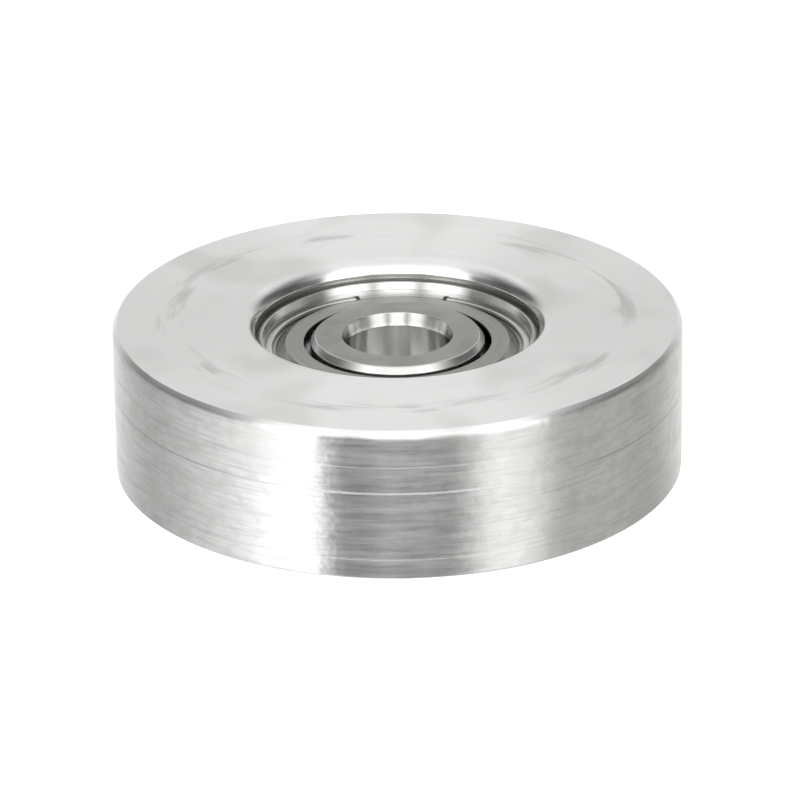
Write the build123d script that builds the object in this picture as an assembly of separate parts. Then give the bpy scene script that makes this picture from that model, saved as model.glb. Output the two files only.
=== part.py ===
"""Cam follower roller: a turned aluminium disc on a shielded deep-groove ball bearing.

Millimetres. +Z is the spin axis. The origin is on that axis, half-way through the roller's width.
The bearing's inner ring is held still by a stud. The roller, the outer ring, the shields and
their snap rings turn around it, and the balls and their cage roll between the two rings.
"""

import math
import os

from build123d import *

# ---- roller -------------------------------------------------------------------------------
ROLLER_D = 44.0  # tread
ROLLER_W = 12.0
TOP_CHAMFER = 0.4  # tread's upper edge
BOTTOM_CHAMFER = 0.15  # tread's lower edge, only broken
POCKET_LEAD_RADIAL = 0.55  # widening of the bearing pocket at its mouth
POCKET_LEAD_LENGTH = 0.95
BEARING_RECESS = 1.45  # roller's top face down to the bearing's face
CLEARANCE_HOLE_D = 20.0  # hole through the shoulder that the bearing stands on
CLEARANCE_HOLE_CHAMFER = 0.4

# ---- bearing: boundary sizes ----------------------------------------------------------------
BORE_D = 8.0
BEARING_D = 22.0
BEARING_W = 7.0
BEARING_CORNER = 0.3  # outer ring's outside corners

# ---- bearing: inner ring ----------------------------------------------------------------------
INNER_WALL = 2.75  # bore to land
LEAD_IN_RADIAL = 0.32  # widening of the bore at each end
LEAD_IN_LENGTH = 1.0
LAND_EDGE_RADIAL = 0.5  # easing of the land's outside corners
LAND_EDGE_LENGTH = 0.36

# ---- bearing: balls and races -------------------------------------------------------------------
BALL_D = 3.5
BALLS = 7
RACE_CONFORMITY = 0.52  # race groove radius over ball diameter
RACE_CLEARANCE = 0.015  # ball to the bottom of each race, radially
RACE_DEPTH = 0.45  # land down to the bottom of a race

# ---- bearing: shields and snap rings ------------------------------------------------------------
SHEET = 0.2  # shield plate
SHIELD_GAP = 0.5  # inner ring's land to the shield's bore
SHIELD_FLAT = 1.4  # width of the raised flat next to the bore
SHIELD_RIM_SHOWING = 0.25  # shield's rim seen inside the snap ring, before its slope starts
SHIELD_FLAT_DEPTH = 0.5  # bearing's face down to the flat
LIP = 0.75  # outer ring's wall outside the seat
SEAT_DEPTH = 1.35  # bearing's face down to the seat that the rim stands on
RIM_CLEARANCE = 0.05  # shield's rim to the wall of the seat
SNAP_THICKNESS = 0.3
SNAP_WIDTH = 0.7
SNAP_GROOVE = 0.15  # depth of the snap ring's groove in the wall
SNAP_CLEARANCE = 0.02
SNAP_PLAY = 0.28  # groove's height above the snap ring
MOUTH_TAPER = 0.2  # widening of the wall from the groove up to the bearing's face
SNAP_GAP_START = 68.3  # degrees from +X to the first end of the open gap
SNAP_GAP_ANGLE = 39.1

# ---- bearing: cage ---------------------------------------------------------------------------------
CAGE_SHEET = 0.3
CAGE_CLEARANCE = 0.4  # ribbon to each ring's land
POCKET_CLEARANCE = 0.06  # ball to its pocket
RIVET_D = 0.6
RIVET_HEAD_D = 1.1
RIVET_HEAD_H = 0.25

# ---- places worked out from the sizes above ---------------------------------------------------------
TREAD_R = ROLLER_D / 2
TOP = ROLLER_W / 2
BOTTOM = -ROLLER_W / 2
BEARING_R = BEARING_D / 2
BEARING_TOP = TOP - BEARING_RECESS
BEARING_BOTTOM = BEARING_TOP - BEARING_W
MID = BEARING_TOP - BEARING_W / 2  # plane of the ball centres
HALF_W = BEARING_W / 2
BORE_R = BORE_D / 2
LAND_R = BORE_R + INNER_WALL
BALL_R = BALL_D / 2
INNER_RACE_R = LAND_R - RACE_DEPTH
PITCH_R = INNER_RACE_R + RACE_CLEARANCE + BALL_R
OUTER_RACE_R = PITCH_R + BALL_R + RACE_CLEARANCE
OUTER_LAND_R = OUTER_RACE_R - RACE_DEPTH
RACE_R = RACE_CONFORMITY * BALL_D
SEAT_R = BEARING_R - LIP
SNAP_OUTER_R = SEAT_R + SNAP_GROOVE - SNAP_CLEARANCE
SNAP_INNER_R = SNAP_OUTER_R - SNAP_WIDTH
SNAP_TOP_DEPTH = SEAT_DEPTH - SHEET - SNAP_CLEARANCE - SNAP_THICKNESS
GROOVE_TOP_DEPTH = SNAP_TOP_DEPTH - SNAP_PLAY
CAGE_INNER_R = LAND_R + CAGE_CLEARANCE
CAGE_OUTER_R = OUTER_LAND_R - CAGE_CLEARANCE
BALL_PITCH = 360 / BALLS


def turned(points, height=0.0):
    """Solid of revolution about the Z axis from (radius, z) corners, moved up by height."""
    face = make_face(Plane.XZ * Polyline(*points, close=True))
    return Pos(0, 0, height) * revolve(face, axis=Axis.Z, revolution_arc=360)


def ring(inner_r, outer_r, low, high):
    """Plain ring between two radii and two heights."""
    return turned([(inner_r, low), (outer_r, low), (outer_r, high), (inner_r, high)])


def both_faces(upper):
    """A piece made at the upper face, and its twin at the lower face, about the mid plane."""
    return {"upper": Pos(0, 0, MID) * upper, "lower": Pos(0, 0, MID) * mirror(upper, about=Plane.XY)}


def around_pitch_circle(angle):
    """Place on the ball pitch circle, in the plane of the ball centres."""
    return Pos(0, 0, MID) * Rot(0, 0, angle) * Pos(PITCH_R, 0, 0)


def roller_body():
    """Aluminium disc: bearing pocket from the top, a shoulder below it, and a hole through that."""
    hole_r = CLEARANCE_HOLE_D / 2
    return turned(
        [
            (hole_r + CLEARANCE_HOLE_CHAMFER, BOTTOM),
            (TREAD_R - BOTTOM_CHAMFER, BOTTOM),
            (TREAD_R, BOTTOM + BOTTOM_CHAMFER),
            (TREAD_R, TOP - TOP_CHAMFER),
            (TREAD_R - TOP_CHAMFER, TOP),
            (BEARING_R + POCKET_LEAD_RADIAL, TOP),
            (BEARING_R, TOP - POCKET_LEAD_LENGTH),
            (BEARING_R, BEARING_BOTTOM),
            (hole_r, BEARING_BOTTOM),
            (hole_r, BOTTOM + CLEARANCE_HOLE_CHAMFER),
        ]
    )


def race(centre_r):
    """Torus that cuts a race groove, with its section's centre at centre_r."""
    return Torus(centre_r, RACE_R)


def inner_ring():
    """Inner ring, with a lead-in at each end of the bore and eased land corners."""
    blank = turned(
        [
            (BORE_R, -HALF_W + LEAD_IN_LENGTH),
            (BORE_R + LEAD_IN_RADIAL, -HALF_W),
            (LAND_R - LAND_EDGE_RADIAL, -HALF_W),
            (LAND_R, -HALF_W + LAND_EDGE_LENGTH),
            (LAND_R, HALF_W - LAND_EDGE_LENGTH),
            (LAND_R - LAND_EDGE_RADIAL, HALF_W),
            (BORE_R + LEAD_IN_RADIAL, HALF_W),
            (BORE_R, HALF_W - LEAD_IN_LENGTH),
        ]
    )
    return Pos(0, 0, MID) * (blank - race(INNER_RACE_R + RACE_R))


def outer_ring():
    """Outer ring, with a tapered mouth, a snap ring groove and a stepped seat at each face."""
    mouth_r = SEAT_R + MOUTH_TAPER
    blank = turned(
        [
            (SEAT_R, -HALF_W + GROOVE_TOP_DEPTH),
            (mouth_r, -HALF_W),
            (BEARING_R - BEARING_CORNER, -HALF_W),
            (BEARING_R, -HALF_W + BEARING_CORNER),
            (BEARING_R, HALF_W - BEARING_CORNER),
            (BEARING_R - BEARING_CORNER, HALF_W),
            (mouth_r, HALF_W),
            (SEAT_R, HALF_W - GROOVE_TOP_DEPTH),
            (SEAT_R, HALF_W - SEAT_DEPTH),
            (OUTER_LAND_R, HALF_W - SEAT_DEPTH),
            (OUTER_LAND_R, -HALF_W + SEAT_DEPTH),
            (SEAT_R, -HALF_W + SEAT_DEPTH),
        ]
    )
    groove_bottom = HALF_W - SEAT_DEPTH + SHEET
    groove = ring(OUTER_LAND_R, SEAT_R + SNAP_GROOVE, groove_bottom, HALF_W - GROOVE_TOP_DEPTH)
    blank = blank - groove - mirror(groove, about=Plane.XY)
    return Pos(0, 0, MID) * (blank - race(OUTER_RACE_R - RACE_R))


def shield():
    """Pressed plate: a raised flat next to the inner ring, a slope, and a rim that is clamped."""
    bore_r = LAND_R + SHIELD_GAP
    flat_r = bore_r + SHIELD_FLAT
    slope_r = SNAP_INNER_R - SHIELD_RIM_SHOWING
    rim_r = SEAT_R - RIM_CLEARANCE
    flat_top = HALF_W - SHIELD_FLAT_DEPTH
    rim_top = HALF_W - SEAT_DEPTH + SHEET
    return turned(
        [
            (bore_r, flat_top),
            (flat_r, flat_top),
            (slope_r, rim_top),
            (rim_r, rim_top),
            (rim_r, rim_top - SHEET),
            (slope_r - SHEET / 2, rim_top - SHEET),
            (flat_r - SHEET / 2, flat_top - SHEET),
            (bore_r, flat_top - SHEET),
        ]
    )


def snap_ring():
    """Open ring of flat wire that springs out into the groove and holds the shield down."""
    top = HALF_W - SNAP_TOP_DEPTH
    section = Polyline(
        (SNAP_INNER_R, top - SNAP_THICKNESS),
        (SNAP_OUTER_R, top - SNAP_THICKNESS),
        (SNAP_OUTER_R, top),
        (SNAP_INNER_R, top),
        close=True,
    )
    wire = revolve(make_face(Plane.XZ * section), axis=Axis.Z, revolution_arc=360 - SNAP_GAP_ANGLE)
    return Rot(0, 0, SNAP_GAP_START + SNAP_GAP_ANGLE) * wire


def cage_half():
    """Upper half of the ribbon cage: a flat band with a dome over each ball and rivet holes."""
    pocket_r = BALL_R + POCKET_CLEARANCE
    band = ring(CAGE_INNER_R, CAGE_OUTER_R, 0, CAGE_SHEET)
    dome_space = ring(CAGE_INNER_R, CAGE_OUTER_R, 0, pocket_r + CAGE_SHEET)
    half = band
    for i in range(BALLS):
        at_ball = Rot(0, 0, i * BALL_PITCH) * Pos(PITCH_R, 0, 0)
        half = half + dome_space.intersect(at_ball * Sphere(pocket_r + CAGE_SHEET))
    for i in range(BALLS):
        at_ball = Rot(0, 0, i * BALL_PITCH) * Pos(PITCH_R, 0, 0)
        at_rivet = Rot(0, 0, (i + 0.5) * BALL_PITCH) * Pos(PITCH_R, 0, 0)
        half = half - at_ball * Sphere(pocket_r)
        half = half - at_rivet * Cylinder(RIVET_D / 2, 2 * BALL_D)
    return half


def rivet():
    """Shank through both cage halves with a low head on each side."""
    shank = Cylinder(RIVET_D / 2, 2 * CAGE_SHEET)
    head_at = CAGE_SHEET + RIVET_HEAD_H / 2
    head = Cylinder(RIVET_HEAD_D / 2, RIVET_HEAD_H)
    return shank + Pos(0, 0, head_at) * head + Pos(0, 0, -head_at) * head


def all_pieces():
    """Every separate piece by name, in its place."""
    pieces = {
        "roller_body": roller_body(),
        "bearing_outer_ring": outer_ring(),
        "bearing_inner_ring": inner_ring(),
    }
    for name, make in (("shield", shield), ("snap_ring", snap_ring), ("cage_half", cage_half)):
        for side, piece in both_faces(make()).items():
            pieces[f"{name}_{side}"] = piece
    for i in range(BALLS):
        pieces[f"ball_{i + 1}"] = around_pitch_circle(i * BALL_PITCH) * Sphere(BALL_R)
        pieces[f"cage_rivet_{i + 1}"] = around_pitch_circle((i + 0.5) * BALL_PITCH) * rivet()
    return pieces


os.makedirs("parts", exist_ok=True)
for name, piece in all_pieces().items():
    piece.label = name
    export_step(piece, os.path.join("parts", f"{name}.step"))

contact = BALL_D / (2 * PITCH_R)
print("pitch circle", round(2 * PITCH_R, 3), "outer land", round(2 * OUTER_LAND_R, 3))
print("cage turns per roller turn", round((1 + contact) / 2, 6))
print("ball turns on its cage per roller turn", round((1 - contact**2) / (2 * contact), 6))
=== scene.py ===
"""Cam follower roller in its finishes: a turned aluminium roller on a shielded ball bearing.

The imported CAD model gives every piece's place. This script makes the pieces that are shown, each
in the space of its CAD node, with their materials, the light tent around them and the camera.
Sizes are in millimetres until they reach a mesh. +Z is the spin axis.
"""

import math

import bpy
from mathutils import Euler, Matrix, Vector


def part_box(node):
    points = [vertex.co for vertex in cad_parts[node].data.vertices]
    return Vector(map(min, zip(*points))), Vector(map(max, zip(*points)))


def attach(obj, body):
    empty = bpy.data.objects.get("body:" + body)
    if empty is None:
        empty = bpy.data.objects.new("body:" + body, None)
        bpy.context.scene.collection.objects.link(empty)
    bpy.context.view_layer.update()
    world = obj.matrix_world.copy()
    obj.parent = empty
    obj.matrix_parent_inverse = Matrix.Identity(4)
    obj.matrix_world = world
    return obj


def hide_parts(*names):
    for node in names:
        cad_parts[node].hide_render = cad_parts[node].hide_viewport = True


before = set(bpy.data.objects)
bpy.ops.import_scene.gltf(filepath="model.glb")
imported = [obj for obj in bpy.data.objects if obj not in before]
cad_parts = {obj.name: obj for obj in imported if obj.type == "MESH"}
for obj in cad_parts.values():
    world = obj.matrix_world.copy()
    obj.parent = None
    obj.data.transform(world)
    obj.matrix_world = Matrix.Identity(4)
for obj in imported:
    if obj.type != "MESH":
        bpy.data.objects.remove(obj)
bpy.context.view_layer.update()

MM = 0.001

# ---- sizes the CAD nodes give ---------------------------------------------------------------


def node_size(name):
    """Outer radius, lowest and highest height of a round CAD node, in millimetres."""
    low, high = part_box(name)
    return high.x / MM, low.z / MM, high.z / MM


TREAD_R, BOTTOM, TOP = node_size("roller_body")
BEARING_R, BEARING_BOTTOM, BEARING_TOP = node_size("bearing_outer_ring")
LAND_R = node_size("bearing_inner_ring")[0]
MID = (BEARING_TOP + BEARING_BOTTOM) / 2  # plane of the ball centres
HALF_W = (BEARING_TOP - BEARING_BOTTOM) / 2
BALL_LOW, BALL_HIGH = (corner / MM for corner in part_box("ball_1"))
BALL_D = BALL_HIGH.x - BALL_LOW.x
PITCH_R = (BALL_HIGH.x + BALL_LOW.x) / 2

# ---- sizes of the sections --------------------------------------------------------------------
TOP_CHAMFER = 0.4
BOTTOM_CHAMFER = 0.15
POCKET_MOUTH_R = 11.45
POCKET_LEAD = 0.95
HOLE_R = 10.0
HOLE_CHAMFER = 0.4
BORE_R = 4.0
LEAD_IN_R = 4.32
LEAD_IN = 1.0
LAND_EDGE_RADIAL = 0.4
LAND_EDGE = 0.5
BEARING_CORNER = 0.3
RACE_R = 1.82
RACE_DEPTH = 0.45
RACE_STEPS = 7  # from the land to just short of the middle
INNER_RACE_R = LAND_R - RACE_DEPTH
OUTER_RACE_R = 9.83
MOUTH_R = 10.45
SEAT_R = 10.25
GROOVE_R = 10.4
GROOVE_SLOPE = 0.03  # the groove's wall leans in to this much inside the seat
GROOVE_DEPTH = 0.55  # bearing's face down to the snap ring's groove
SEAT_DEPTH = 1.35
SHIELD_BORE_R = 7.25
SHIELD_FLAT_R = 8.65
SHIELD_SLOPE_R = 9.43
SHIELD_RIM_R = 10.2
SHIELD_FLAT_DEPTH = 0.5
SHEET = 0.2
SNAP_INNER_R = 9.68
SNAP_OUTER_R = 10.34
SNAP_DEPTH = 0.83
SNAP_THICKNESS = 0.3
SNAP_BEVEL = 0.12  # the wire's outer side leans with the groove's wall
SNAP_GAP_START = 68.3  # degrees from +X to the first end of the open gap
SNAP_GAP_ANGLE = 39.1
CAGE_INNER_R = 7.15
CAGE_OUTER_R = 8.98
CAGE_SHEET = 0.3
POCKET_CLEARANCE = 0.06  # ball to its pocket in the cage
CAGE_FOOT = 0.05  # easing where a dome rises from the flat strip
RIVET_R = 0.3
RIVET_HEAD_R = 0.55
RIVET_HEAD = 0.25
BALLS = 7

GUIDE_R = 10.0  # circle that a section is swept along
ROUND_STEPS = 4  # facets in each rounded corner
HOLD = 1.6  # how far a flat's first point is from its corner, in lengths of the rounding
CRISP = math.radians(38)  # edges turned by more than this stay sharp
SAME_POINT = 1e-7  # points of one piece nearer than this are one, in metres
SAME_SEAM = 1e-6  # the same where a cage's bays meet
BALL_STEPS = 5
BAY_COLUMNS = 65
BAY_ROWS = 13
ROLLER_FACETS = 256  # round the axis
RING_FACETS = 192
WIRE_FACETS = 176
RIVET_FACETS = 24

# ---- nodes ------------------------------------------------------------------------------------

SMOOTH = {"interpolation_type": "SMOOTHSTEP"}  # for a Map Range from a value's low and high to 0 and 1
QUARTER_TURN = 0.25  # of a whole turn, as the shader counts a grain's direction


def node(tree, kind, inputs=None, **settings):
    """Adds a node with its settings. An input is a value, or the socket that feeds it."""
    made = tree.nodes.new(kind)
    for setting, value in settings.items():
        setattr(made, setting, value)
    for key, value in (inputs or {}).items():
        if isinstance(value, bpy.types.NodeSocket):
            tree.links.new(value, made.inputs[key])
        else:
            made.inputs[key].default_value = value
    return made


def linear(hex_colour):
    """An sRGB hex colour as the linear colour that a shader needs."""
    channels = [int(hex_colour[i : i + 2], 16) / 255 for i in (0, 2, 4)]
    return (*(c / 12.92 if c <= 0.04045 else ((c + 0.055) / 1.055) ** 2.4 for c in channels), 1.0)


def new_material(name):
    """Empty material, and the tree that its nodes go in."""
    material = bpy.data.materials.new(name)
    material.use_nodes = True
    material.node_tree.nodes.clear()
    return material, material.node_tree


def lathe_space(tree):
    """Sockets that follow a turned surface: its way round the axis, its radius, its height, and
    the distance along its section, which grows on a face and on a wall alike."""
    place = node(tree, "ShaderNodeTexCoord").outputs["Object"]
    flat = node(tree, "ShaderNodeVectorMath", {0: place, 1: (1, 1, 0)}, operation="MULTIPLY").outputs[0]
    radius = node(tree, "ShaderNodeVectorMath", {0: flat}, operation="LENGTH").outputs["Value"]
    way = node(tree, "ShaderNodeVectorMath", {0: flat}, operation="NORMALIZE").outputs[0]
    height = node(tree, "ShaderNodeSeparateXYZ", {0: place}).outputs["Z"]
    along = node(tree, "ShaderNodeMath", {0: radius, 1: height}, operation="ADD").outputs[0]
    return {"place": place, "way": way, "radius": radius, "height": height, "along": along}


def turned_noise(tree, space, length, pitch, detail=2.0, seed=0.0):
    """Noise drawn out around the axis, as a cutting tool leaves it. Length is along the tread and
    pitch across it, in millimetres."""
    way = node(tree, "ShaderNodeVectorMath", {0: space["way"], "Scale": TREAD_R / length}, operation="SCALE")
    step = node(
        tree, "ShaderNodeMath", {0: space["along"], 1: 1 / (pitch * MM), 2: seed}, operation="MULTIPLY_ADD"
    )
    rise = node(tree, "ShaderNodeCombineXYZ", {"Z": step.outputs[0]})
    vector = node(tree, "ShaderNodeVectorMath", {0: way.outputs[0], 1: rise.outputs[0]}, operation="ADD")
    inputs = {"Vector": vector.outputs[0], "Scale": 1.0, "Detail": detail, "Roughness": 0.55}
    return node(tree, "ShaderNodeTexNoise", inputs).outputs["Fac"]


def patch_noise(tree, space, size, detail=2.0, seed=(0.0, 0.0, 0.0)):
    """Even noise, with patches of that size in millimetres."""
    moved = node(tree, "ShaderNodeMapping", {"Vector": space["place"], "Location": seed})
    inputs = {"Vector": moved.outputs[0], "Scale": 1 / (size * MM), "Detail": detail, "Roughness": 0.6}
    return node(tree, "ShaderNodeTexNoise", inputs).outputs["Fac"]


def within(tree, value, millimetres, full, gone, most=1.0):
    """Mask round a radius or a height: most until full from it, and nothing past gone. The lengths are
    in millimetres."""
    offset = node(tree, "ShaderNodeMath", {0: value, 1: millimetres * MM}, operation="SUBTRACT")
    distance = node(tree, "ShaderNodeMath", {0: offset.outputs[0]}, operation="ABSOLUTE").outputs[0]
    inputs = {0: distance, 1: full * MM, 2: gone * MM, 3: most, 4: 0.0}
    return node(tree, "ShaderNodeMapRange", inputs, **SMOOTH).outputs[0]


def layered_colour(tree, base, layers):
    """Base colour with each layer's colour over it, from (colour, masks that all count)."""
    colour = linear(base)
    for hex_colour, *masks in layers:
        amount = masks[0]
        for mask in masks[1:]:
            amount = node(tree, "ShaderNodeMath", {0: amount, 1: mask}, operation="MULTIPLY").outputs[0]
        inputs = {0: amount, 6: colour, 7: linear(hex_colour)}
        colour = node(tree, "ShaderNodeMix", inputs, data_type="RGBA").outputs[2]
    return colour


def metal_surface(tree, colour, roughness, reliefs, anisotropy=0.0):
    """Bare metal, over reliefs of (height, depth in millimetres). Where it has a grain, the grain runs
    round the axis and spreads a highlight across itself."""
    inputs = {"Base Color": colour, "Metallic": 1.0, "Roughness": roughness}
    under = {}
    for height, depth in reliefs:
        relief = {"Height": height, "Distance": depth * MM} | under
        under = {"Normal": node(tree, "ShaderNodeBump", relief).outputs["Normal"]}
    inputs |= under
    if anisotropy:
        grain = node(tree, "ShaderNodeTangent", direction_type="RADIAL", axis="Z")
        inputs["Tangent"] = grain.outputs["Tangent"]
        inputs["Anisotropic"] = anisotropy
        inputs["Anisotropic Rotation"] = QUARTER_TURN
    shader = node(tree, "ShaderNodeBsdfPrincipled", inputs)
    node(tree, "ShaderNodeOutputMaterial", {"Surface": shader.outputs["BSDF"]})


# ---- materials --------------------------------------------------------------------------------

TREAD_LINES = ((1.0, 0.13, 1.0), (3.1, 0.08, 0.5), (-4.4, 0.08, 0.4))  # height, half width, strength
TORN = 0.3  # how much rougher a line is than the tread
WASHER_RING_R = 17.6  # where a washer has rubbed the top face
GROOVE_SHADE_WIDTH = 0.35  # width of the painted shade on the outer ring's face, where it meets the pocket
ROUND_GRAIN = 0.95  # anisotropy of a surface that was cut or drawn round the axis
END_SHADOW_TURNS = (2.6, 1.4)  # degrees from a wire's end to where its painted shadow starts and is full


def turned_aluminium():
    """Aluminium bar, turned and left bare. The feed marks ring the faces and the tread, so a
    highlight is drawn out across them, and handling leaves dull patches and fine round scores. The
    pocket is bored finer, and its wall below the lead is painted darker, as painted shade in the recess."""
    material, tree = new_material("turned_aluminium")
    space = lathe_space(tree)
    radius, height = space["radius"], space["height"]
    lead_foot = TOP - POCKET_LEAD
    feed = turned_noise(tree, space, length=30.0, pitch=0.16)
    streaks = turned_noise(tree, space, length=6.0, pitch=0.45, detail=3.0, seed=17.0)
    scores = turned_noise(tree, space, length=3.5, pitch=0.2, detail=3.0, seed=31.0)
    rubs = turned_noise(tree, space, length=9.0, pitch=1.1, seed=43.0)
    patches = patch_noise(tree, space, size=1.3)
    smudges = patch_noise(tree, space, size=7.0, detail=1.0, seed=(0.013, 0.0, 0.0))

    inputs = {0: radius, 1: (TREAD_R - 0.3) * MM, 2: (TREAD_R - 0.05) * MM}
    on_tread = node(tree, "ShaderNodeMapRange", inputs, **SMOOTH).outputs[0]
    inputs = {0: radius, 1: (BEARING_R + 0.1) * MM, 2: (POCKET_MOUTH_R + 0.3) * MM, 3: 1.0, 4: 0.0}
    in_pocket = node(tree, "ShaderNodeMapRange", inputs, **SMOOTH).outputs[0]
    # Mask for painted shade on the pocket wall below the lead.
    inputs = {0: height, 1: (lead_foot - 0.12) * MM, 2: lead_foot * MM, 3: 1.0, 4: 0.0}
    shade_below_lead = node(tree, "ShaderNodeMapRange", inputs, **SMOOTH).outputs[0]
    in_ring = within(tree, radius, WASHER_RING_R, 0.3, 1.4)
    dull = node(tree, "ShaderNodeMapRange", {0: smudges, 1: 0.5, 2: 0.72}, **SMOOTH).outputs[0]
    rubbed = node(tree, "ShaderNodeMapRange", {0: rubs, 1: 0.5, 2: 0.68}, **SMOOTH).outputs[0]
    scuffed = node(tree, "ShaderNodeMapRange", {0: patches, 1: 0.45, 2: 0.68}, **SMOOTH).outputs[0]
    scored = node(tree, "ShaderNodeMapRange", {0: scores, 1: 0.45, 2: 0.72}, **SMOOTH).outputs[0]
    layers = [
        ("E3E3E2", dull),
        ("D2D2D1", in_ring, rubbed),
        ("E5E5E4", scuffed, on_tread),
        ("DCDCDB", scored, on_tread),
        ("E2E2DF", in_pocket, shade_below_lead),
    ]

    inputs = {0: streaks, 1: 0.3, 2: 0.7, 3: 0.27, 4: 0.34}
    turned_finish = node(tree, "ShaderNodeMapRange", inputs, **SMOOTH).outputs[0]
    roughness = node(tree, "ShaderNodeMix", {0: in_pocket, 2: turned_finish, 3: 0.15}).outputs[0]
    for line_height, half_width, strength in TREAD_LINES:
        line = within(tree, height, line_height, 0.0, half_width, strength)
        line = node(tree, "ShaderNodeMath", {0: line, 1: on_tread}, operation="MULTIPLY").outputs[0]
        layers.append(("FCFCFC", line))
        inputs = {0: line, 1: TORN, 2: roughness}
        roughness = node(tree, "ShaderNodeMath", inputs, operation="MULTIPLY_ADD").outputs[0]
    dents = node(tree, "ShaderNodeMath", {0: patches, 1: on_tread}, operation="MULTIPLY").outputs[0]
    colour = layered_colour(tree, "F0F0F0", layers)
    metal_surface(tree, colour, roughness, [(feed, 0.001), (dents, 0.02)], ROUND_GRAIN)
    return material


def ground_ring_steel():
    """Through-hardened bearing steel, ground round and flat: fine even rings and a clean dark
    shine, with the bore honed smoother. The bore, its lead-in, the mouth and the land's edge are painted
    brighter as painted highlights, and painted shade darkens the line where the outer ring meets the pocket."""
    material, tree = new_material("ground_ring_steel")
    space = lathe_space(tree)
    radius = space["radius"]
    grinding = turned_noise(tree, space, length=14.0, pitch=0.08)
    tone = patch_noise(tree, space, size=3.0)

    # The brighter layers on the bore, the lead-in, the mouth and the land's edge are painted highlights; the
    # bore's lower roughness is its honing.
    inputs = {0: radius, 1: (BORE_R + 0.02) * MM, 2: (BORE_R + 0.12) * MM, 3: 1.0, 4: 0.0}
    honed_bore_and_highlight = node(tree, "ShaderNodeMapRange", inputs, **SMOOTH).outputs[0]
    inputs = {0: radius, 1: LEAD_IN_R * MM, 2: (LEAD_IN_R + 0.06) * MM, 3: 1.0, 4: 0.0}
    lead_in_highlight = node(tree, "ShaderNodeMapRange", inputs, **SMOOTH).outputs[0]
    mouth_highlight = within(tree, radius, SEAT_R + 0.05, 0.18, 0.26)
    land_edge_highlight = within(tree, radius, LAND_R - LAND_EDGE_RADIAL / 2, 0.18, 0.26)
    # The dark layer at the outer ring's corner is painted shade in the groove where it meets the pocket.
    groove_shade_r = BEARING_R - GROOVE_SHADE_WIDTH
    inputs = {0: radius, 1: (groove_shade_r - 0.07) * MM, 2: (groove_shade_r + 0.07) * MM}
    painted_groove_shade = node(tree, "ShaderNodeMapRange", inputs, **SMOOTH).outputs[0]
    toned = node(tree, "ShaderNodeMapRange", {0: tone, 1: 0.4, 2: 0.65}, **SMOOTH).outputs[0]
    layers = [
        ("979795", toned),
        ("C6C6C4", lead_in_highlight),
        ("D6D6D4", mouth_highlight),
        ("DEDEDC", land_edge_highlight),
        ("787876", painted_groove_shade),
        ("DADAD8", honed_bore_and_highlight),
    ]

    inputs = {0: grinding, 1: 0.3, 2: 0.7, 3: 0.18, 4: 0.25}
    ground = node(tree, "ShaderNodeMapRange", inputs, **SMOOTH).outputs[0]
    roughness = node(tree, "ShaderNodeMix", {0: honed_bore_and_highlight, 2: ground, 3: 0.17}).outputs[0]
    colour = layered_colour(tree, "A2A2A0", layers)
    metal_surface(tree, colour, roughness, [(grinding, 0.0004)], ROUND_GRAIN)
    return material


def lapped_ball_steel():
    """Bearing balls, lapped to a mirror: all but clean reflections with a trace of oil haze."""
    material, tree = new_material("lapped_ball_steel")
    haze = patch_noise(tree, lathe_space(tree), size=0.9)
    inputs = {0: haze, 1: 0.35, 2: 0.7, 3: 0.05, 4: 0.1}
    roughness = node(tree, "ShaderNodeMapRange", inputs, **SMOOTH).outputs[0]
    metal_surface(tree, linear("B8B8B6"), roughness, [(haze, 0.0004)])
    return material


def pressed_shield_steel():
    """Zinc-plated strip steel, pressed: satin, with faint drawing rings and a grey tone."""
    material, tree = new_material("pressed_shield_steel")
    space = lathe_space(tree)
    drawing = turned_noise(tree, space, length=9.0, pitch=0.18, seed=5.0)
    plating = patch_noise(tree, space, size=0.8)
    drawn = node(tree, "ShaderNodeMapRange", {0: drawing, 1: 0.35, 2: 0.7}, **SMOOTH).outputs[0]
    inputs = {0: plating, 1: 0.35, 2: 0.7, 3: 0.2, 4: 0.26}
    roughness = node(tree, "ShaderNodeMapRange", inputs, **SMOOTH).outputs[0]
    colour = layered_colour(tree, "A1A19E", [("989895", drawn)])
    metal_surface(tree, colour, roughness, [(drawing, 0.0005)], ROUND_GRAIN)
    return material


def rolled_spring_wire():
    """Flat spring wire with rolled edges: bright and drawn lengthwise, with a painted shadow
    at each end, where it was cut off."""
    material, tree = new_material("rolled_spring_wire")
    space = lathe_space(tree)
    drawing = turned_noise(tree, space, length=5.0, pitch=0.1, seed=9.0)
    gap = math.radians(SNAP_GAP_START + SNAP_GAP_ANGLE / 2)
    towards_gap = {0: space["way"], 1: (math.cos(gap), math.sin(gap), 0.0)}
    near = node(tree, "ShaderNodeVectorMath", towards_gap, operation="DOT_PRODUCT").outputs["Value"]
    blank, dark = (math.cos(math.radians(SNAP_GAP_ANGLE / 2 + turn)) for turn in END_SHADOW_TURNS)
    # Painted shadow at each end of the wire, beside the gap.
    end_shadow = node(tree, "ShaderNodeMapRange", {0: near, 1: blank, 2: dark}, **SMOOTH).outputs[0]
    drawn = node(tree, "ShaderNodeMapRange", {0: drawing, 1: 0.4, 2: 0.7}, **SMOOTH).outputs[0]
    inputs = {0: drawing, 1: 0.3, 2: 0.7, 3: 0.16, 4: 0.24}
    roughness = node(tree, "ShaderNodeMapRange", inputs, **SMOOTH).outputs[0]
    colour = layered_colour(tree, "D8D8D6", [("C6C6C3", drawn), ("4A4946", end_shadow)])
    metal_surface(tree, colour, roughness, [(drawing, 0.0005)], ROUND_GRAIN)
    return material


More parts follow.
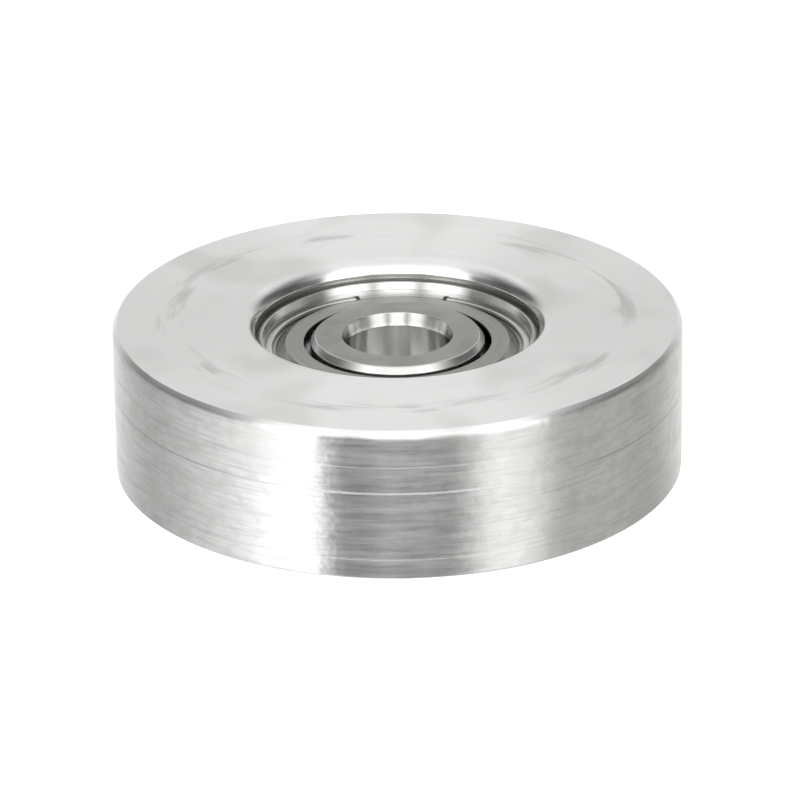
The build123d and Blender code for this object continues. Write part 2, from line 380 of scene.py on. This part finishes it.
def pressed_cage_steel():
    """Cold-rolled strip pressed into a ribbon cage: grey, satin, with the strip's faint grain."""
    material, tree = new_material("pressed_cage_steel")
    grain = turned_noise(tree, lathe_space(tree), length=4.0, pitch=0.2)
    grained = node(tree, "ShaderNodeMapRange", {0: grain, 1: 0.35, 2: 0.7}, **SMOOTH).outputs[0]
    inputs = {0: grain, 1: 0.3, 2: 0.7, 3: 0.3, 4: 0.42}
    roughness = node(tree, "ShaderNodeMapRange", inputs, **SMOOTH).outputs[0]
    metal_surface(tree, layered_colour(tree, "B9BABB", [("A3A4A5", grained)]), roughness, [(grain, 0.002)])
    return material


def headed_rivet_steel():
    """Soft steel wire rivets, cold headed: smooth domes with a dull bloom."""
    material, tree = new_material("headed_rivet_steel")
    bloom = patch_noise(tree, lathe_space(tree), size=0.3)
    bloomed = node(tree, "ShaderNodeMapRange", {0: bloom, 1: 0.4, 2: 0.65}, **SMOOTH).outputs[0]
    inputs = {0: bloom, 1: 0.3, 2: 0.7, 3: 0.28, 4: 0.4}
    roughness = node(tree, "ShaderNodeMapRange", inputs, **SMOOTH).outputs[0]
    metal_surface(tree, layered_colour(tree, "BEC0C1", [("A8AAAB", bloomed)]), roughness, [(bloom, 0.002)])
    return material


def white_paper():
    """Matt white background paper, lit until it is all but pure white."""
    material, tree = new_material("white_paper")
    fibre = patch_noise(tree, lathe_space(tree), size=0.8, detail=4.0)
    relief = node(tree, "ShaderNodeBump", {"Height": fibre, "Distance": 0.02 * MM})
    inputs = {
        "Base Color": layered_colour(tree, "F4F4F3", [("FAFAFA", fibre)]),
        "Roughness": 0.9,
        "Normal": relief.outputs["Normal"],
        "Emission Color": linear("FFFFFF"),
        "Emission Strength": 0.7,
    }
    shader = node(tree, "ShaderNodeBsdfPrincipled", inputs)
    node(tree, "ShaderNodeOutputMaterial", {"Surface": shader.outputs["BSDF"]})
    return material


# ---- geometry trees -----------------------------------------------------------------------------

SIZE, COUNT, ANGLE = "NodeSocketFloat", "NodeSocketInt", "NodeSocketFloat"


def new_tree(name, sizes):
    """Geometry tree that takes a mesh, its sizes and a material. Gives the tree and its inputs."""
    tree = bpy.data.node_groups.new(name, "GeometryNodeTree")
    tree.interface.new_socket("Geometry", in_out="INPUT", socket_type="NodeSocketGeometry")
    for label, kind in sizes.items():
        tree.interface.new_socket(label, in_out="INPUT", socket_type=kind)
    tree.interface.new_socket("Material", in_out="INPUT", socket_type="NodeSocketMaterial")
    tree.interface.new_socket("Geometry", in_out="OUTPUT", socket_type="NodeSocketGeometry")
    return tree, node(tree, "NodeGroupInput").outputs


def end_tree(tree, geometry, material):
    """Closes a tree: faces smoothed between crisp edges, copies made real, and the finish set."""
    turn = node(tree, "GeometryNodeInputMeshEdgeAngle").outputs["Unsigned Angle"]
    crisp = node(tree, "FunctionNodeCompare", {0: turn, 1: CRISP}, operation="GREATER_THAN")
    smooth = node(tree, "GeometryNodeSetShadeSmooth", {"Geometry": geometry, "Shade Smooth": True})
    inputs = {"Geometry": smooth.outputs[0], "Selection": crisp.outputs[0], "Shade Smooth": False}
    edged = node(tree, "GeometryNodeSetShadeSmooth", inputs, domain="EDGE")
    real = node(tree, "GeometryNodeRealizeInstances", {"Geometry": edged.outputs[0]})
    finished = node(tree, "GeometryNodeSetMaterial", {"Geometry": real.outputs[0], "Material": material})
    node(tree, "NodeGroupOutput", {"Geometry": finished.outputs[0]})


def turned_piece_tree():
    """Sweeps a section round the axis. The section's points carry the radius of their rounding."""
    sizes = {"Guide Radius": SIZE, "Segments": COUNT, "Start": ANGLE, "Sweep": ANGLE}
    sizes["Open"] = "NodeSocketBool"
    tree, given = new_tree("turned piece", sizes)
    section = node(tree, "GeometryNodeMeshToCurve", {"Mesh": given["Geometry"]})
    rounding = node(tree, "GeometryNodeInputNamedAttribute", {"Name": "round"}, data_type="FLOAT")
    inputs = {"Curve": section.outputs[0], "Count": ROUND_STEPS, "Radius": rounding.outputs[0]}
    inputs["Limit Radius"] = False
    rounded = node(tree, "GeometryNodeFilletCurve", inputs, mode="POLY")
    inputs = {"Radius": given["Guide Radius"], "Resolution": given["Segments"]}
    whole = node(tree, "GeometryNodeCurvePrimitiveCircle", inputs)
    inputs |= {"Start Angle": given["Start"], "Sweep Angle": given["Sweep"]}
    part = node(tree, "GeometryNodeCurveArc", inputs)
    inputs = {"Switch": given["Open"], "False": whole.outputs[0], "True": part.outputs[0]}
    path = node(tree, "GeometryNodeSwitch", inputs, input_type="GEOMETRY")
    inputs = {"Curve": path.outputs[0], "Profile Curve": rounded.outputs[0], "Fill Caps": given["Open"]}
    swept = node(tree, "GeometryNodeCurveToMesh", inputs)
    merged = node(tree, "GeometryNodeMergeByDistance", {"Geometry": swept.outputs[0], "Distance": SAME_POINT})
    end_tree(tree, merged.outputs[0], given["Material"])
    return tree


def ball_tree():
    """One bearing ball on the pitch circle."""
    sizes = {"Diameter": SIZE, "Pitch Radius": SIZE, "Turn": ANGLE, "Height": SIZE}
    tree, given = new_tree("bearing ball", sizes)
    radius = node(tree, "ShaderNodeMath", {0: given["Diameter"], 1: 0.5}, operation="MULTIPLY")
    ball = node(tree, "GeometryNodeMeshIcoSphere", {"Radius": radius.outputs[0], "Subdivisions": BALL_STEPS})
    out = node(tree, "ShaderNodeCombineXYZ", {"X": given["Pitch Radius"], "Z": given["Height"]})
    inputs = {"Geometry": ball.outputs["Mesh"], "Translation": out.outputs[0]}
    placed = node(tree, "GeometryNodeTransform", inputs)
    turn = node(tree, "ShaderNodeCombineXYZ", {"Z": given["Turn"]})
    inputs = {"Geometry": placed.outputs[0], "Rotation": turn.outputs[0]}
    turned = node(tree, "GeometryNodeTransform", inputs)
    end_tree(tree, turned.outputs[0], given["Material"])
    return tree


def ring_of_copies_tree():
    """Copies of the mesh turned about the axis at even steps and joined where they meet."""
    sizes = {"Count": COUNT, "Out": SIZE, "Up": SIZE, "Start": ANGLE}
    tree, given = new_tree("ring of copies", sizes)
    place = node(tree, "ShaderNodeCombineXYZ", {"X": given["Out"], "Z": given["Up"]})
    inputs = {"Geometry": given["Geometry"], "Translation": place.outputs[0]}
    first = node(tree, "GeometryNodeTransform", inputs)
    points = node(tree, "GeometryNodePoints", {"Count": given["Count"]})
    step = node(tree, "ShaderNodeMath", {0: math.tau, 1: given["Count"]}, operation="DIVIDE")
    index = node(tree, "GeometryNodeInputIndex").outputs[0]
    inputs = {0: index, 1: step.outputs[0], 2: given["Start"]}
    turn = node(tree, "ShaderNodeMath", inputs, operation="MULTIPLY_ADD")
    turned = node(tree, "ShaderNodeCombineXYZ", {"Z": turn.outputs[0]})
    inputs = {"Points": points.outputs[0], "Instance": first.outputs[0], "Rotation": turned.outputs[0]}
    copies = node(tree, "GeometryNodeInstanceOnPoints", inputs)
    real = node(tree, "GeometryNodeRealizeInstances", {"Geometry": copies.outputs[0]})
    merged = node(tree, "GeometryNodeMergeByDistance", {"Geometry": real.outputs[0], "Distance": SAME_SEAM})
    end_tree(tree, merged.outputs[0], given["Material"])
    return tree


def cage_bay_tree():
    """One bay of the ribbon cage, round its ball: strip that is flat beside the ball and domed over
    it, as thick all over as the strip it was pressed from."""
    sizes = {"Inner Radius": SIZE, "Outer Radius": SIZE, "Pitch Radius": SIZE, "Pocket Radius": SIZE}
    sizes |= {"Strip": SIZE, "Bay Angle": ANGLE, "Foot": SIZE, "Side": SIZE}
    tree, given = new_tree("cage bay", sizes)
    inputs = {"Size X": 1.0, "Size Y": 1.0, "Vertices X": BAY_COLUMNS, "Vertices Y": BAY_ROWS}
    grid = node(tree, "GeometryNodeMeshGrid", inputs)
    place = node(tree, "ShaderNodeSeparateXYZ", {0: node(tree, "GeometryNodeInputPosition").outputs[0]})
    turn = node(tree, "ShaderNodeMath", {0: place.outputs["X"], 1: given["Bay Angle"]}, operation="MULTIPLY")
    inputs = {"Value": place.outputs["Y"], "From Min": -0.5, "From Max": 0.5}
    inputs |= {"To Min": given["Inner Radius"], "To Max": given["Outer Radius"]}
    radius = node(tree, "ShaderNodeMapRange", inputs).outputs["Result"]
    cosine = node(tree, "ShaderNodeMath", {0: turn.outputs[0]}, operation="COSINE").outputs[0]
    sine = node(tree, "ShaderNodeMath", {0: turn.outputs[0]}, operation="SINE").outputs[0]
    x = node(tree, "ShaderNodeMath", {0: radius, 1: cosine}, operation="MULTIPLY").outputs[0]
    y = node(tree, "ShaderNodeMath", {0: radius, 1: sine}, operation="MULTIPLY").outputs[0]
    across = node(tree, "ShaderNodeMath", {0: x, 1: given["Pitch Radius"]}, operation="SUBTRACT").outputs[0]
    sideways = node(tree, "ShaderNodeMath", {0: y, 1: y}, operation="MULTIPLY").outputs[0]
    square = node(tree, "ShaderNodeMath", {0: across, 1: across, 2: sideways}, operation="MULTIPLY_ADD")
    inputs = {0: given["Pocket Radius"], 1: given["Pocket Radius"]}
    pocket = node(tree, "ShaderNodeMath", inputs, operation="MULTIPLY")
    left = node(tree, "ShaderNodeMath", {0: pocket.outputs[0], 1: square.outputs[0]}, operation="SUBTRACT")
    left = node(tree, "ShaderNodeMath", {0: left.outputs[0], 1: 0.0}, operation="MAXIMUM")
    dome = node(tree, "ShaderNodeMath", {0: left.outputs[0]}, operation="SQRT").outputs[0]
    eased = node(tree, "ShaderNodeMath", {0: dome, 1: 0.0, 2: given["Foot"]}, operation="SMOOTH_MAX")
    lift = node(tree, "ShaderNodeMath", {0: eased.outputs[0], 1: given["Side"]}, operation="MULTIPLY")
    spot = node(tree, "ShaderNodeCombineXYZ", {"X": x, "Y": y, "Z": lift.outputs[0]})
    inputs = {"Geometry": grid.outputs["Mesh"], "Position": spot.outputs[0]}
    shaped = node(tree, "GeometryNodeSetPosition", inputs)
    normal = node(tree, "GeometryNodeInputNormal").outputs[0]
    inputs = {"Mesh": shaped.outputs[0], "Offset": normal}
    inputs |= {"Offset Scale": given["Strip"], "Individual": False}
    thick = node(tree, "GeometryNodeExtrudeMesh", inputs, mode="FACES")
    back = node(tree, "GeometryNodeFlipFaces", {"Mesh": shaped.outputs[0]})
    both = node(tree, "GeometryNodeJoinGeometry")
    for half in (thick, back):
        tree.links.new(half.outputs[0], both.inputs[0])
    merged = node(tree, "GeometryNodeMergeByDistance", {"Geometry": both.outputs[0], "Distance": SAME_POINT})
    end_tree(tree, merged.outputs[0], given["Material"])
    return tree


def grown(name, tree, material, sizes, start=None):
    """Piece that a tree makes from its sizes, and from a mesh to start with, as a plain mesh."""
    piece = bpy.data.objects.new(name, start or bpy.data.meshes.new(name))
    bpy.context.scene.collection.objects.link(piece)
    modifier = piece.modifiers.new(tree.name, "NODES")
    modifier.node_group = tree
    for socket in tree.interface.items_tree:
        if socket.in_out == "INPUT" and socket.name in sizes:
            modifier[socket.identifier] = sizes[socket.name]
        elif socket.in_out == "INPUT" and socket.name == "Material":
            modifier[socket.identifier] = material
    shown = piece.evaluated_get(bpy.context.evaluated_depsgraph_get())
    mesh = bpy.data.meshes.new_from_object(shown)
    mesh.name = name
    piece.modifiers.remove(modifier)
    piece.data = mesh
    return piece


# ---- sections -------------------------------------------------------------------------------------
# A section is a list of (radius, height, rounding), anticlockwise with the radius to the right.


def section_mesh(corners):
    """Section as a line of points with their roundings. A flat between two rounded corners gets a
    point near each, which keeps its shading flat."""
    points = []
    for i, (r, z, rounding) in enumerate(corners):
        here = Vector((r, z))
        before = Vector(corners[i - 1][:2])
        after = Vector(corners[(i + 1) % len(corners)][:2])
        turn = (here - before).angle(after - here)
        reach = HOLD * rounding * math.tan(turn / 2)
        if rounding and reach < (here - before).length / 2:
            points.append((*(here + (before - here).normalized() * reach), 0.0))
        points.append((r, z, rounding))
        if rounding and reach < (after - here).length / 2:
            points.append((*(here + (after - here).normalized() * reach), 0.0))
    points.reverse()
    mesh = bpy.data.meshes.new("section")
    edges = [(i, i + 1) for i in range(len(points) - 1)]
    if corners[0][0] > 0 or corners[-1][0] > 0:
        edges.append((len(points) - 1, 0))
    mesh.from_pydata([((r - GUIDE_R) * MM, -z * MM, 0) for r, z, _ in points], edges, [])
    rounding = mesh.attributes.new("round", "FLOAT", "POINT")
    rounding.data.foreach_set("value", [r * MM for _, _, r in points])
    return mesh


def below(corners):
    """The same section upside down."""
    return [(r, -z, rounding) for r, z, rounding in reversed(corners)]


def raised(corners, height=None):
    """Section moved up, to the bearing's middle if no height is given."""
    height = MID if height is None else height
    return [(r, z + height, rounding) for r, z, rounding in corners]


def race(bottom_r, land_r):
    """Upper half of a race groove, from the middle to the land."""
    side = 1 if land_r > bottom_r else -1
    centre = bottom_r + side * RACE_R
    full = math.acos(abs(centre - land_r) / RACE_R)
    points = []
    for i in range(RACE_STEPS):
        angle = full * (i + 0.5) / (RACE_STEPS - 0.5)
        points.append((centre - side * RACE_R * math.cos(angle), RACE_R * math.sin(angle), 0.0))
    return points


def roller_section():
    return [
        (HOLE_R + HOLE_CHAMFER, BOTTOM, 0.06),
        (TREAD_R - BOTTOM_CHAMFER, BOTTOM, 0.1),
        (TREAD_R, BOTTOM + BOTTOM_CHAMFER, 0.1),
        (TREAD_R, TOP - TOP_CHAMFER, 0.8),
        (TREAD_R - TOP_CHAMFER, TOP, 0.1),
        (POCKET_MOUTH_R, TOP, 1.1),
        (BEARING_R, TOP - POCKET_LEAD, 0.15),
        (BEARING_R, BEARING_BOTTOM, 0.05),
        (HOLE_R, BEARING_BOTTOM, 0.06),
        (HOLE_R, BOTTOM + HOLE_CHAMFER, 0.06),
    ]


def outer_ring_section():
    land_r = OUTER_RACE_R - RACE_DEPTH
    upper = [
        (BEARING_R, HALF_W - BEARING_CORNER, 0.12),
        (BEARING_R - BEARING_CORNER, HALF_W, 0.1),
        (MOUTH_R, HALF_W, 0.03),
        (SEAT_R, HALF_W - GROOVE_DEPTH, 0.02),
        (GROOVE_R, HALF_W - GROOVE_DEPTH, 0.02),
        (SEAT_R - GROOVE_SLOPE, HALF_W - SEAT_DEPTH + SHEET, 0.03),
        (SEAT_R - GROOVE_SLOPE, HALF_W - SEAT_DEPTH, 0.03),
        (land_r, HALF_W - SEAT_DEPTH, 0.05),
    ] + race(OUTER_RACE_R, land_r)[::-1]
    return upper + below(upper)


def inner_ring_section():
    upper = race(INNER_RACE_R, LAND_R) + [
        (LAND_R, HALF_W - LAND_EDGE, 0.2),
        (LAND_R - LAND_EDGE_RADIAL, HALF_W, 0.2),
        (LEAD_IN_R, HALF_W, 0.08),
        (BORE_R, HALF_W - LEAD_IN, 0.3),
    ]
    return upper + below(upper)


def shield_section():
    flat, rim = HALF_W - SHIELD_FLAT_DEPTH, HALF_W - SEAT_DEPTH + SHEET
    return [
        (SHIELD_BORE_R, flat - SHEET, 0.04),
        (SHIELD_FLAT_R - SHEET / 2, flat - SHEET, 0.1),
        (SHIELD_SLOPE_R - SHEET / 2, rim - SHEET, 0.3),
        (SHIELD_RIM_R, rim - SHEET, 0.04),
        (SHIELD_RIM_R, rim, 0.04),
        (SHIELD_SLOPE_R, rim, 0.12),
        (SHIELD_FLAT_R, flat, 0.3),
        (SHIELD_BORE_R, flat, 0.08),
    ]


def snap_ring_section():
    top = HALF_W - SNAP_DEPTH
    return [
        (SNAP_INNER_R, top - SNAP_THICKNESS, 0.1),
        (SNAP_OUTER_R - SNAP_BEVEL, top - SNAP_THICKNESS, 0.06),
        (SNAP_OUTER_R, top, 0.1),
        (SNAP_INNER_R, top, 0.12),
    ]


def rivet_section():
    upper = [
        (RIVET_R, CAGE_SHEET, 0.0),
        (RIVET_HEAD_R, CAGE_SHEET, 0.05),
        (RIVET_HEAD_R, CAGE_SHEET + RIVET_HEAD, 0.15),
        (0.0, CAGE_SHEET + RIVET_HEAD, 0.0),
    ]
    return below(upper) + upper


# ---- pieces ---------------------------------------------------------------------------------------

finish = {
    "turned_aluminium": turned_aluminium(),
    "ring_steel": ground_ring_steel(),
    "ball_steel": lapped_ball_steel(),
    "shield_steel": pressed_shield_steel(),
    "spring_wire": rolled_spring_wire(),
    "cage_steel": pressed_cage_steel(),
    "rivet_steel": headed_rivet_steel(),
}
turned_tree = turned_piece_tree()
copies_tree = ring_of_copies_tree()


def turned(name, section, slot, segments=RING_FACETS, start=0.0, sweep=360.0):
    """Piece swept from its section: right round, or part of the way with closed ends."""
    sizes = {
        "Guide Radius": GUIDE_R * MM,
        "Segments": segments,
        "Start": math.radians(start),
        "Sweep": math.radians(sweep),
        "Open": sweep < 360,
    }
    return grown(name, turned_tree, finish[slot], sizes, section_mesh(section))


def fit(piece, body, slot, *nodes):
    """Puts a finished piece in the frame: the body that carries it, its finish slot, which is not used, and
    what it shows.
    """
    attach(piece, body)
    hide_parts(*nodes)


roller = turned("roller", roller_section(), "turned_aluminium", segments=ROLLER_FACETS)
fit(roller, "roller", "turned_aluminium", "roller_body")

outer_ring = turned("outer_ring", raised(outer_ring_section()), "ring_steel")
fit(outer_ring, "roller", "ring_steel", "bearing_outer_ring")

inner_ring = turned("inner_ring", raised(inner_ring_section()), "ring_steel")
fit(inner_ring, "hub", "ring_steel", "bearing_inner_ring")

for side, facing in (("upper", list), ("lower", below)):
    shield = turned(f"shield_plate_{side}", raised(facing(shield_section())), "shield_steel")
    fit(shield, "roller", "shield_steel", f"shield_{side}")
    snap_ring = turned(
        f"snap_wire_{side}",
        raised(facing(snap_ring_section())),
        "spring_wire",
        segments=WIRE_FACETS,
        start=SNAP_GAP_START + SNAP_GAP_ANGLE,
        sweep=360 - SNAP_GAP_ANGLE,
    )
    fit(snap_ring, "roller", "spring_wire", f"snap_ring_{side}")

balls_tree = ball_tree()
for i in range(BALLS):
    sizes = {
        "Diameter": BALL_D * MM,
        "Pitch Radius": PITCH_R * MM,
        "Turn": math.tau * i / BALLS,
        "Height": MID * MM,
    }
    ball = grown(f"bearing_ball_{i + 1}", balls_tree, finish["ball_steel"], sizes)
    fit(ball, f"rolling_ball_{i + 1}", "ball_steel", f"ball_{i + 1}")

bay_tree = cage_bay_tree()
for side, facing in (("upper", 1.0), ("lower", -1.0)):
    sizes = {
        "Inner Radius": CAGE_INNER_R * MM,
        "Outer Radius": CAGE_OUTER_R * MM,
        "Pitch Radius": PITCH_R * MM,
        "Pocket Radius": (BALL_D / 2 + POCKET_CLEARANCE) * MM,
        "Strip": CAGE_SHEET * MM * facing,
        "Bay Angle": math.tau / BALLS,
        "Foot": CAGE_FOOT * MM,
        "Side": facing,
    }
    bay = grown(f"cage_bay_{side}", bay_tree, finish["cage_steel"], sizes)
    sizes = {"Count": BALLS, "Out": 0.0, "Up": MID * MM, "Start": 0.0}
    cage = grown(f"cage_ribbon_{side}", copies_tree, finish["cage_steel"], sizes, bay.data)
    bpy.data.objects.remove(bay)
    fit(cage, "cage", "cage_steel", f"cage_half_{side}")

rivet = turned("one_rivet", rivet_section(), "rivet_steel", segments=RIVET_FACETS)
sizes = {"Count": BALLS, "Out": PITCH_R * MM, "Up": MID * MM, "Start": math.pi / BALLS}
rivets = grown("cage_rivets", copies_tree, finish["rivet_steel"], sizes, rivet.data)
bpy.data.objects.remove(rivet)
fit(rivets, "cage", "rivet_steel", *(f"cage_rivet_{i + 1}" for i in range(BALLS)))

# ---- floor ------------------------------------------------------------------------------------------

FLOOR = 4.0  # half the paper's side, in metres

floor_mesh = bpy.data.meshes.new("floor")
corners = [(-FLOOR, -FLOOR), (FLOOR, -FLOOR), (FLOOR, FLOOR), (-FLOOR, FLOOR)]
floor_mesh.from_pydata([(x, y, BOTTOM * MM) for x, y in corners], [], [(0, 1, 2, 3)])
floor_mesh.materials.append(white_paper())
floor = bpy.data.objects.new("floor", floor_mesh)
bpy.context.scene.collection.objects.link(floor)
floor.visible_glossy = False  # the tent's lower half lights the tread instead

# ---- light tent ---------------------------------------------------------------------------------------
# Cloth that lights the object all round, from (azimuth in degrees, colour). Azimuth 0 is the camera's
# side and 90 is to its right. The low band is what the tread mirrors and the high one what the bores do.

LOW_BAND = (
    (-180, "FFFFFF"),
    (-164, "E8E8E7"),
    (-150, "C6C6C5"),
    (-136, "B4B4B3"),
    (-118, "9F9F9E"),
    (-98, "B6B6B5"),
    (-74, "DBDBDA"),
    (-56, "F8F8F8"),
    (-33, "FFFFFF"),
    (-29, "464645"),
    (-22, "5E5E5E"),
    (-12, "484848"),
    (-4, "727271"),
    (4, "525252"),
    (12, "6C6C6B"),
    (20, "585858"),
    (28, "8C8C8A"),
    (37, "D2D2D0"),
    (54, "DCDCDA"),
    (66, "A2A3A0"),
    (92, "A8A9A5"),
    (118, "9A9B98"),
    (140, "B8B8B5"),
    (163, "DCDCDA"),
)
RIM_BAND = (
    (-180, "8E8E8D"),
    (-150, "8E8E8D"),
    (-128, "3C3C3B"),
    (-95, "2A2A2A"),
    (-66, "4D4D4D"),
    (-50, "FAFAFA"),
    (-32, "FFFFFF"),
    (-20, "92928F"),
    (-9, "FFFFFF"),
    (9, "FFFFFF"),
    (20, "92928F"),
    (32, "FFFFFF"),
    (50, "FAFAFA"),
    (66, "4D4D4D"),
    (95, "2A2A2A"),
    (128, "3C3C3B"),
    (150, "8E8E8D"),
)
HIGH_BAND = (
    (-180, "CBCBCA"),
    (-150, "C7C7C6"),
    (-122, "797978"),
    (-95, "595959"),
    (-70, "A9A9A9"),
    (-48, "FFFFFF"),
    (48, "FFFFFF"),
    (70, "A9A9A9"),
    (95, "595959"),
    (122, "797978"),
    (150, "C7C7C6"),
)
ROOF = ((-180, "E8E8E7"), (180, "E8E8E7"))
# Each band, with its strength and the elevations between which it takes over from the one below.
TENT = (
    (LOW_BAND, 1.37, None),
    (RIM_BAND, 2.7, (3.0, 11.0)),
    (HIGH_BAND, 1.9, (26.0, 36.0)),
    (ROOF, 1.1, (42.0, 66.0)),
)


def band(tree, turn, stops, strength):
    """Light from one band of the tent, by its place round the object."""
    ramp = node(tree, "ShaderNodeValToRGB", {"Fac": turn})
    elements = ramp.color_ramp.elements
    while len(elements) < len(stops):
        elements.new(0.5)
    for element, (azimuth, colour) in zip(elements, stops):
        element.position = (azimuth + 180) / 360
        element.color = linear(colour)
    light = {0: ramp.outputs["Color"], "Scale": strength}
    return node(tree, "ShaderNodeVectorMath", light, operation="SCALE").outputs[0]


def light_tent():
    world = bpy.data.worlds.new("light_tent")
    world.use_nodes = True
    tree = world.node_tree
    tree.nodes.clear()
    way = node(tree, "ShaderNodeTexCoord").outputs["Generated"]
    parts = node(tree, "ShaderNodeSeparateXYZ", {0: way}).outputs
    towards = node(tree, "ShaderNodeMath", {0: parts["Y"], 1: -1.0}, operation="MULTIPLY")
    angle = node(tree, "ShaderNodeMath", {0: parts["X"], 1: towards.outputs[0]}, operation="ARCTAN2")
    inputs = {"Value": angle.outputs[0], "From Min": -math.pi, "From Max": math.pi}
    turn = node(tree, "ShaderNodeMapRange", inputs).outputs["Result"]
    colour = None
    for stops, strength, edge in TENT:
        cloth = band(tree, turn, stops, strength)
        if edge:
            start, full = (math.sin(math.radians(elevation)) for elevation in edge)
            inputs = {0: parts["Z"], 1: start, 2: full}
            amount = node(tree, "ShaderNodeMapRange", inputs, **SMOOTH).outputs[0]
            inputs = {0: amount, 6: colour, 7: cloth}
            cloth = node(tree, "ShaderNodeMix", inputs, data_type="RGBA").outputs[2]
        colour = cloth
    light = node(tree, "ShaderNodeBackground", {"Color": colour, "Strength": 1.0})
    node(tree, "ShaderNodeOutputWorld", {"Surface": light.outputs[0]})
    return world


scene = bpy.context.scene
scene.world = light_tent()
scene.view_settings.view_transform = "Standard"

# ---- camera -------------------------------------------------------------------------------------------

CAMERA_ELEVATION = 23.53  # degrees
CAMERA_DISTANCE = 445.9
CAMERA_ROLL = -0.707  # degrees
LENS = 258.8
SENSOR_WIDTH = 36.0
SHIFT_RIGHT = 0.0023
SHIFT_UP = -0.0151

camera_data = bpy.data.cameras.new("camera")
camera_data.lens = LENS
camera_data.sensor_width = SENSOR_WIDTH
camera_data.shift_x = SHIFT_RIGHT
camera_data.shift_y = SHIFT_UP
camera_data.clip_start = 0.01
camera_data.clip_end = 50.0
camera = bpy.data.objects.new("camera", camera_data)
scene.collection.objects.link(camera)
tilt = Euler((math.radians(90 - CAMERA_ELEVATION), 0, 0)).to_matrix().to_4x4()
roll = Matrix.Rotation(math.radians(CAMERA_ROLL), 4, "Z")
away = Matrix.Translation((0, 0, CAMERA_DISTANCE * MM))
camera.matrix_world = tilt @ roll @ away
scene.camera = camera
